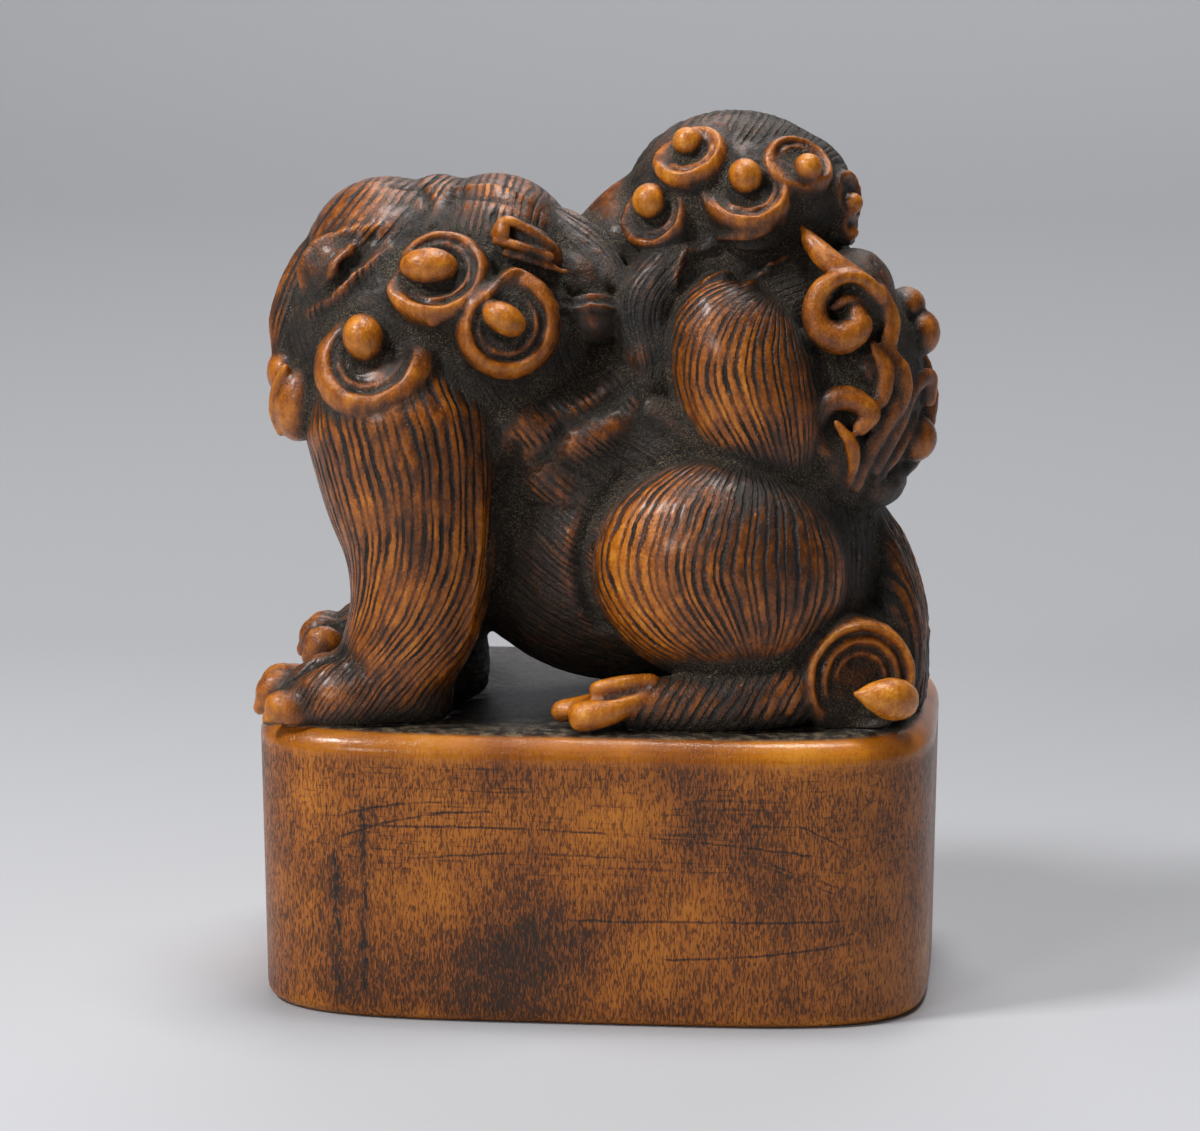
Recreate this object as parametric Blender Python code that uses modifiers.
"""Boxwood seal netsuke: a crouching lion-dog with a cub on her back, cut in one with the plinth below them.

The figure is built like a clay sketch. Each mass is a simple solid, the masses of one animal are fused by a
voxel remesh and softened, and the whole is thinned to a light mesh and united with the plinth.
"""

import math

import bmesh
import bpy
from mathutils import Matrix, Vector

# Driving sizes, in metres. X runs from the head to the tail, Y to the far side, Z up; the origin is under the plinth.
PLINTH_LENGTH = 0.0323
PLINTH_DEPTH = 0.0222
PLINTH_HEIGHT = 0.0138
PLINTH_TAPER = 0.0002       # how much narrower each side is at the foot
PLINTH_TOP_ROUND = 0.0011
PLINTH_FOOT_ROUND = 0.0005
PLINTH_SQUARENESS = 4.6     # exponent of the plan outline: 2 is an ellipse, more is squarer
FIGURE_HEIGHT = 0.0281      # above the plinth's top

# The figure is laid out in carver's units above the centre of the plinth's top. It is this many units tall.
UNITS_TALL = 28.1
UNIT = FIGURE_HEIGHT / UNITS_TALL

VOXEL = 0.22 * UNIT         # grid of the fused figure
FIGURE_TRIANGLES = 8800

WOOD_COLOUR = (0.42, 0.20, 0.06, 1.0)


def clear_scene():
    for old in list(bpy.data.objects):
        bpy.data.objects.remove(old)


def collection_named(name):
    made = bpy.data.collections.new(name)
    bpy.context.scene.collection.children.link(made)
    return made


def at(x, y, z):
    """A point of the figure, from carver's units."""
    return Vector((x, y, z)) * UNIT + Vector((0, 0, PLINTH_HEIGHT))


# Clay: every mass is a bmesh, and a group of masses is a list of them.

def ball(centre, radii, tilt=(0, 0, 0), detail=4):
    """An ellipsoid mass. Tilt is in degrees about X, Y and Z, in that order."""
    clay = bmesh.new()
    bmesh.ops.create_icosphere(clay, subdivisions=detail, radius=1)
    turn = Matrix.Identity(3)
    for axis, degrees in zip("XYZ", tilt):
        turn = Matrix.Rotation(math.radians(degrees), 3, axis) @ turn
    size = Matrix.Diagonal(Vector(radii) * UNIT)
    bmesh.ops.transform(clay, matrix=(turn @ size).to_4x4(), verts=clay.verts)
    bmesh.ops.translate(clay, vec=at(*centre), verts=clay.verts)
    return clay


def tube(points, sides=16, smooth_steps=6):
    """A rounded limb or ridge through points (place, radius), both in metres."""
    curve = bpy.data.curves.new("tube", "CURVE")
    curve.dimensions = "3D"
    curve.bevel_depth = 1.0
    curve.bevel_resolution = sides // 4
    curve.use_fill_caps = True
    curve.resolution_u = smooth_steps
    spline = curve.splines.new("BEZIER")
    spline.radius_interpolation = "CARDINAL"
    spline.bezier_points.add(len(points) - 1)
    for knot, (place, radius) in zip(spline.bezier_points, points):
        knot.co = place
        knot.radius = radius
        knot.handle_left_type = knot.handle_right_type = "AUTO"
    guide = bpy.data.objects.new("tube", curve)
    bpy.context.scene.collection.objects.link(guide)
    bpy.context.view_layer.update()
    clay = bmesh.new()
    clay.from_mesh(guide.evaluated_get(bpy.context.evaluated_depsgraph_get()).to_mesh())
    bmesh.ops.remove_doubles(clay, verts=clay.verts, dist=1e-6)
    bpy.data.objects.remove(guide)
    bpy.data.curves.remove(curve)
    for place, radius in (points[0], points[-1]):
        end = Matrix.Translation(place) @ Matrix.Scale(radius, 4)
        bmesh.ops.create_icosphere(clay, subdivisions=3, radius=1, matrix=end)
    return clay


def limb(*stations):
    """A limb through stations (x, y, z, radius), in carver's units."""
    return tube([(at(x, y, z), radius * UNIT) for x, y, z, radius in stations])


def curl(centre, facing, size, start, sweep, knob=0.36, stretch=1.0, depth=1.0):
    """A curled lock of hair on a domed button.

    The strand starts at the rim, at an angle in degrees seen from the front, and sweeps round, the sign giving the
    hand, into a knob that lies off the middle on the side where the strand arrives.
    """
    turn = Vector(facing).to_track_quat("Z", "Y").to_matrix().to_4x4()
    frame = Matrix.Translation(at(*centre)) @ turn @ Matrix.Scale(size * UNIT, 4)
    button = bmesh.new()
    dome = Matrix.Translation((0, 0, -0.52)) @ Matrix.Diagonal((0.98, 0.98, 0.50 * depth, 1))
    bmesh.ops.create_icosphere(button, subdivisions=4, radius=1, matrix=frame @ dome)
    strand = []
    steps = 16
    for step in range(steps + 1):
        share = step / steps
        angle = math.radians(start + sweep * share)
        reach = 0.82 - 0.38 * share ** 1.5
        place = frame @ Vector((reach * math.cos(angle), reach * math.sin(angle), -0.14 + 0.20 * share))
        strand.append((place, (0.22 - 0.04 * share) * size * UNIT))
    end = math.radians(start + sweep)
    middle = bmesh.new()
    place = Matrix.Translation((0.2 * math.cos(end), 0.2 * math.sin(end), 0.12))
    shape = Matrix.Rotation(end, 4, "Z") @ Matrix.Diagonal((knob * stretch, knob, knob, 1))
    bmesh.ops.create_icosphere(middle, subdivisions=3, radius=1, matrix=frame @ place @ shape)
    return merged([button, tube(strand, smooth_steps=2), middle])


def merged(clays):
    """One bmesh that holds several."""
    whole = bmesh.new()
    for clay in clays:
        data = bpy.data.meshes.new("clay")
        clay.to_mesh(data)
        clay.free()
        whole.from_mesh(data)
        bpy.data.meshes.remove(data)
    return whole


def fused(clays, soften):
    """The masses joined into one skin by a voxel remesh, with its creases softened over a width in carver's units."""
    whole = merged(clays)
    data = bpy.data.meshes.new("fused")
    whole.to_mesh(data)
    whole.free()
    shape = bpy.data.objects.new("fused", data)
    bpy.context.scene.collection.objects.link(shape)
    skin = shape.modifiers.new("Skin", "REMESH")
    skin.mode = "VOXEL"
    skin.voxel_size = VOXEL
    ease = shape.modifiers.new("Soften", "SMOOTH")
    ease.factor = 0.5
    ease.iterations = max(1, round((soften * UNIT / VOXEL) ** 2))
    bpy.context.view_layer.update()
    clay = bmesh.new()
    clay.from_mesh(shape.evaluated_get(bpy.context.evaluated_depsgraph_get()).to_mesh())
    bpy.data.objects.remove(shape)
    bpy.data.meshes.remove(data)
    return clay


# The dam: trunk, legs, head, mane and tail.

def dam_trunk():
    masses = [
        ball((-7.6, 0, 12.0), (6.0, 8.0, 6.5)),
        ball((-6.8, 0, 15.6), (6.4, 7.8, 5.0)),
        ball((1.0, 0, 7.6), (8.4, 7.4, 7.0)),
        ball((8.0, 0, 7.0), (5.8, 8.4, 7.2)),
        ball((2.0, 0, 11.6), (8.0, 6.6, 5.0)),
        ball((1.5, 0, 14.6), (5.0, 5.4, 4.6)),
        ball((-0.4, 0, 12.8), (5.0, 6.8, 4.4)),
        ball((-8.9, 0, 6.4), (3.3, 6.2, 8.0)),
        ball((-8.9, 0, 1.0), (3.3, 5.6, 3.4)),
    ]
    return fused(masses, soften=1.8)


def dam_foreleg(side):
    leg = limb(
        (-8.9, 4.9 * side, 13.6, 4.9),
        (-8.5, 5.6 * side, 10.6, 4.35),
        (-8.1, 6.3 * side, 7.6, 3.6),
        (-8.3, 6.8 * side, 5.0, 3.2),
        (-9.2, 7.0 * side, 2.6, 2.85),
    )
    paw = ball((-11.4, 7.2 * side, 1.2), (3.5, 2.9, 2.0), (0, -8, 0))
    heel = ball((-8.8, 6.6 * side, 0.9), (2.3, 2.5, 1.8))
    toes = [
        ball((-13.35 - 0.25 * index, (9.1 - 1.35 * index) * side, 0.85), (1.6, 0.85, 1.1)) for index in range(4)
    ]
    return [fused([leg, paw, heel], soften=1.0)] + toes


def dam_hind_leg(side):
    thigh = ball((5.5, 5.9 * side, 7.1), (6.6, 4.2, 5.4), (0, 14, 0))
    foot = limb(
        (9.4, 7.4 * side, 1.7, 1.7),
        (6.2, 8.2 * side, 1.2, 1.5),
        (3.4, 8.5 * side, 1.0, 1.3),
    )
    toes = [
        limb((4.2, 9.5 * side, 1.2, 0.75), (2.0, 9.6 * side, 1.0, 0.7), (0.5, 9.6 * side, 0.6, 0.8)),
        limb((4.6, 8.6 * side, 2.1, 0.75), (3.0, 8.6 * side, 2.2, 0.65), (1.6, 8.5 * side, 1.8, 0.7)),
        limb((2.8, 8.0 * side, 1.4, 0.7), (-0.9, 8.3 * side, 0.7, 0.7)),
    ]
    return [thigh, foot] + toes


def dam_skin_folds(side):
    """The rolls of skin behind the shoulder, and the patch of coat below them."""
    return [
        limb((1.2, 4.4 * side, 16.2, 0.7), (-0.7, 5.9 * side, 14.3, 0.95), (-3.0, 6.9 * side, 13.2, 0.8)),
        limb((2.2, 4.8 * side, 14.2, 0.7), (0.2, 6.1 * side, 12.5, 0.95), (-2.2, 6.8 * side, 11.6, 0.8)),
        ball((-2.6, 5.8 * side, 10.6), (2.1, 1.5, 1.9), (0, 35, 0)),
    ]


def dam_head():
    skull = fused([
        ball((-7.3, 0.2, 18.4), (7.3, 7.3, 6.4)),
        ball((-10.3, 0.0, 20.1), (3.4, 6.0, 4.4)),
        ball((-5.1, 0.0, 20.2), (3.9, 6.0, 4.5)),
        ball((-7.4, -3.8, 17.8), (7.4, 4.4, 5.2)),
    ], soften=0.8)
    ears = [
        limb((-12.8, -1.0, 22.4, 0.8), (-13.8, -2.0, 20.6, 1.0), (-14.9, -2.6, 18.4, 1.0), (-15.0, -3.0, 17.2, 0.8)),
        limb((-3.0, 0.4, 22.5, 1.2), (-1.2, -0.6, 21.6, 1.4), (0.0, -1.4, 20.3, 1.2), (0.9, -2.0, 19.2, 0.6)),
    ]
    for side in (-1, 1):
        ears.append(limb(
            (-7.7 + 4.4 * side, 3.2, 21.7, 1.1), (-7.7 + 6.3 * side, 4.4, 20.2, 1.3), (-7.7 + 6.5 * side, 4.9, 17.8, 0.7),
        ))
    brow = limb((-8.4, -1.4, 24.6, 0.6), (-10.4, -1.6, 24.3, 0.7), (-12.6, -1.6, 22.9, 0.5))
    crown = limb((-8.1, -1.4, 24.8, 0.6), (-5.6, -1.6, 24.4, 0.8), (-3.4, -1.6, 23.1, 0.5))
    return [skull, brow, crown] + ears


def dam_mane():
    return [
        curl((-7.4, -7.1, 21.2), (0.0, -0.80, 0.60), 2.45, 205, 330, stretch=1.3),
        curl((-3.9, -8.0, 18.9), (0.22, -0.95, 0.2), 2.55, 75, -330),
        curl((-10.3, -7.9, 17.4), (-0.15, -0.88, 0.45), 2.9, 30, -280, knob=0.4),
        curl((-14.9, -4.4, 14.2), (-0.9, -0.42, 0.1), 2.2, 60, -300, depth=1.7),
        curl((-12.2, -4.9, 20.4), (-0.62, -0.52, 0.58), 2.2, 40, -260, stretch=1.3),
        curl((-3.3, -5.4, 22.5), (0.40, -0.52, 0.75), 1.6, 340, 250),
        curl((-0.8, -5.4, 19.0), (0.45, -0.48, 0.75), 1.7, 10, 260),
        curl((-14.4, 3.4, 14.6), (-0.85, 0.5, -0.05), 2.2, 60, 300, depth=1.4),
        curl((-0.8, 4.6, 17.4), (0.75, 0.6, 0.2), 2.2, 120, -300),
        curl((-2.0, 6.6, 13.9), (0.45, 0.88, -0.1), 2.1, 20, -300),
    ]


def dam_face():
    x = -7.7
    masses = [
        ball((x, 7.2, 15.8), (4.5, 3.3, 2.6)),
        ball((x, 7.4, 12.6), (3.5, 2.6, 1.3)),
        ball((x, 9.5, 17.4), (1.7, 1.1, 0.95)),
    ]
    for side in (-1, 1):
        masses += [
            ball((x + 2.3 * side, 8.6, 15.4), (2.0, 1.9, 1.7)),
            ball((x + 2.7 * side, 7.3, 18.9), (1.25, 1.25, 1.15)),
            limb((x + 1.0 * side, 8.2, 19.9, 0.6), (x + 3.0 * side, 7.6, 20.9, 0.9), (x + 5.2 * side, 5.6, 20.4, 0.7)),
            curl((x + 3.8 * side, 6.6, 12.2), (0.4 * side, 0.9, -0.1), 1.5, 90 - 60 * side, 280 * side),
        ]
    return masses


def dam_tail():
    plume = [
        limb((14.2, 1.5 * lean, 0.6, 1.5), (14.3, 1.9 * lean, 3.6, 1.3), (13.6, 1.4 * lean, 6.8, 1.1),
             (12.4, 0.9 * lean, 9.4, 0.7))
        for lean in (-1.6, -0.1, 1.4)
    ]
    return plume + [
        ball((12.4, 0, 2.6), (2.9, 6.2, 3.4)),
        curl((12.9, -7.6, 2.35), (0.42, -0.90, 0.08), 2.9, 330, -360, knob=0.42, depth=1.5),
        curl((14.0, 6.0, 3.6), (0.80, 0.60, 0.0), 2.5, 30, -300, depth=1.5),
    ]


# The cub: it sits on the dam's rump, its back and tail to the right and its head turned to the far side.

def cub_body():
    trunk = fused([
        ball((9.4, 0.2, 14.6), (5.2, 5.8, 5.0)),
        ball((7.2, 0.2, 19.2), (5.6, 5.2, 4.3)),
        ball((5.8, 0.2, 21.8), (4.6, 4.4, 3.0)),
    ], soften=1.5)
    masses = [trunk]
    for side in (-1, 1):
        masses += [
            ball((7.2, 4.4 * side, 15.5), (3.6, 3.1, 5.7), (0, -20, 0)),
            limb((10.0, 4.9 * side, 11.3, 1.2), (6.2, 5.2 * side, 12.6, 1.2), (3.0, 5.0 * side, 14.4, 0.9)),
            limb((3.8, 2.8 * side, 21.4, 1.7), (2.2, 3.7 * side, 19.2, 1.6), (2.8, 4.2 * side, 16.4, 1.3)),
        ]
    masses.append(limb((3.2, -3.6, 21.0, 0.4), (5.6, -4.9, 21.3, 0.6), (8.0, -4.6, 22.0, 0.4)))
    masses.append(limb((4.6, -4.8, 19.6, 0.4), (7.0, -5.2, 20.3, 0.6), (9.4, -4.6, 21.2, 0.4)))
    return masses


def cub_head():
    skull = fused([
        ball((6.2, 0.6, 24.05), (5.2, 4.9, 4.15)),
        ball((9.0, 0.4, 24.2), (2.8, 4.0, 3.0)),
    ], soften=0.6)
    x = 6.4
    masses = [
        skull,
        limb((2.2, 0.6, 24.3, 1.3), (0.7, 0.4, 23.4, 1.2), (-0.6, 0.2, 22.5, 0.9)),
        ball((1.2, 0.8, 21.4), (2.6, 3.6, 3.0)),
        ball((x, 5.3, 22.6), (2.6, 2.2, 1.7)),
        ball((x, 7.0, 23.5), (0.9, 0.7, 0.55)),
    ]
    for side in (-1, 1):
        masses += [
            ball((x + 1.3 * side, 6.1, 22.3), (1.15, 1.15, 1.0)),
            ball((x + 1.7 * side, 5.1, 24.4), (0.8, 0.75, 0.7)),
            limb((x + 0.6 * side, 5.6, 25.1, 0.4), (x + 2.6 * side, 4.9, 25.6, 0.55), (x + 3.9 * side, 3.8, 25.2, 0.4)),
        ]
    return masses


def cub_mane():
    return [
        curl((7.2, -3.9, 25.0), (0.05, -0.72, 0.69), 2.1, 190, 290, knob=0.4),
        curl((2.6, -3.4, 23.9), (-0.38, -0.84, 0.38), 1.75, 220, 260, knob=0.42),
        curl((4.6, -2.6, 26.3), (-0.2, -0.50, 0.84), 1.7, 200, 290),
        curl((9.6, -2.7, 26.0), (0.45, -0.45, 0.77), 1.7, 160, -260),
        curl((11.9, -1.2, 24.2), (0.95, -0.3, 0.1), 1.4, 120, -260, depth=1.5),
        curl((11.9, -1.4, 22.7), (0.95, -0.3, -0.1), 0.9, 100, -260, depth=1.5),
        curl((10.8, 2.6, 23.2), (0.8, 0.6, 0.0), 1.6, 20, 280),
        curl((2.0, 3.4, 23.0), (-0.7, 0.7, 0.0), 1.6, 200, -280),
    ]


def cub_tail():
    """The tail lies up the back as a flame: a stem of two strands, and hooked locks on both sides."""
    return [
        ball((12.5, -1.0, 15.0), (2.9, 4.1, 5.2), (0, 4, 0)),
        ball((12.8, -2.0, 10.9), (2.4, 2.6, 1.5)),
        ball((11.0, -3.4, 12.3), (2.4, 2.3, 2.6)),
        limb((11.0, -5.2, 11.0, 0.5), (12.8, -4.8, 12.6, 0.6), (13.9, -3.6, 15.2, 0.7), (13.0, -4.2, 17.8, 0.6),
             (12.8, -4.2, 20.6, 0.6), (10.2, -4.0, 22.4, 0.4)),
        limb((11.4, -5.2, 11.0, 0.4), (13.6, -4.0, 13.2, 0.5), (14.7, -2.6, 16.0, 0.6), (14.2, -2.4, 18.4, 0.5)),
        curl((11.4, -5.0, 19.3), (0.30, -0.94, 0.12), 1.65, 60, 300, knob=0.46),
        curl((11.8, -5.2, 14.0), (0.36, -0.92, 0.0), 1.65, 260, -260, knob=0.46),
        ball((15.1, 0.0, 17.4), (0.95, 1.3, 1.3)),
        ball((14.3, 0.8, 18.9), (0.9, 1.3, 0.8)),
        ball((15.0, -1.4, 12.9), (1.0, 1.1, 1.1)),
        limb((12.2, -4.0, 11.0, 0.4), (14.6, -1.6, 11.6, 0.5), (15.6, 0.2, 14.4, 0.5), (14.8, 0.8, 16.8, 0.5)),
    ]


def plinth():
    """The seal block: a soft-cornered oblong, a little narrower at the foot, with rounded edges and flat ends."""
    block = bmesh.new()
    bmesh.ops.create_cone(
        block, cap_ends=True, segments=56, radius1=1, radius2=1, depth=PLINTH_HEIGHT,
        matrix=Matrix.Translation((0, 0, PLINTH_HEIGHT / 2)),
    )
    for point in block.verts:
        point.co = outline_point(math.atan2(point.co.y, point.co.x), point.co.z)
    for width, level in ((PLINTH_TOP_ROUND, PLINTH_HEIGHT), (PLINTH_FOOT_ROUND, 0.0)):
        rim = [edge for edge in block.edges if all(abs(end.co.z - level) < 1e-6 for end in edge.verts)]
        bmesh.ops.bevel(block, geom=rim, offset=width, segments=3, profile=0.5, affect="EDGES", clamp_overlap=False)
    return block


def outline_point(angle, level):
    """A point of the plinth's plan outline at a level, drawn in towards the foot by the taper."""
    power = 2 / PLINTH_SQUARENESS
    inset = PLINTH_TAPER * (1 - level / PLINTH_HEIGHT)
    along = math.copysign(abs(math.cos(angle)) ** power, math.cos(angle)) * (PLINTH_LENGTH / 2 - inset)
    across = math.copysign(abs(math.sin(angle)) ** power, math.sin(angle)) * (PLINTH_DEPTH / 2 - inset)
    return Vector((along, across, level))


def as_object(name, clay, collection):
    data = bpy.data.meshes.new(name)
    clay.to_mesh(data)
    clay.free()
    made = bpy.data.objects.new(name, data)
    collection.objects.link(made)
    return made


def wood():
    material = bpy.data.materials.new("boxwood")
    material.use_nodes = True
    shader = material.node_tree.nodes["Principled BSDF"]
    shader.inputs["Base Color"].default_value = WOOD_COLOUR
    shader.inputs["Roughness"].default_value = 0.42
    shader.inputs["Metallic"].default_value = 0.0
    return material


def figure():
    limbs = []
    for side in (-1, 1):
        limbs += dam_foreleg(side) + dam_hind_leg(side) + dam_skin_folds(side)
    dam = fused([dam_trunk()] + limbs, soften=0.42)
    head = fused(dam_head() + dam_face(), soften=0.3)
    cub = fused(cub_body() + cub_head(), soften=0.35)
    details = dam_mane() + dam_tail() + cub_mane() + cub_tail()
    return fused([dam, head, cub] + details, soften=0.22)


def main():
    clear_scene()
    carving = collection_named("lion_dog_netsuke")
    helpers = collection_named("helpers")
    helpers.hide_render = True

    animals = as_object("animals", figure(), helpers)
    thin = animals.modifiers.new("Thin", "DECIMATE")
    animals.data.calc_loop_triangles()
    thin.ratio = FIGURE_TRIANGLES / len(animals.data.loop_triangles)

    netsuke = as_object("lion_dog_seal", plinth(), carving)
    union = netsuke.modifiers.new("Carved in one", "BOOLEAN")
    union.operation = "UNION"
    union.object = animals
    animals.hide_render = True
    animals.display_type = "WIRE"
    netsuke.data.materials.append(wood())


main()
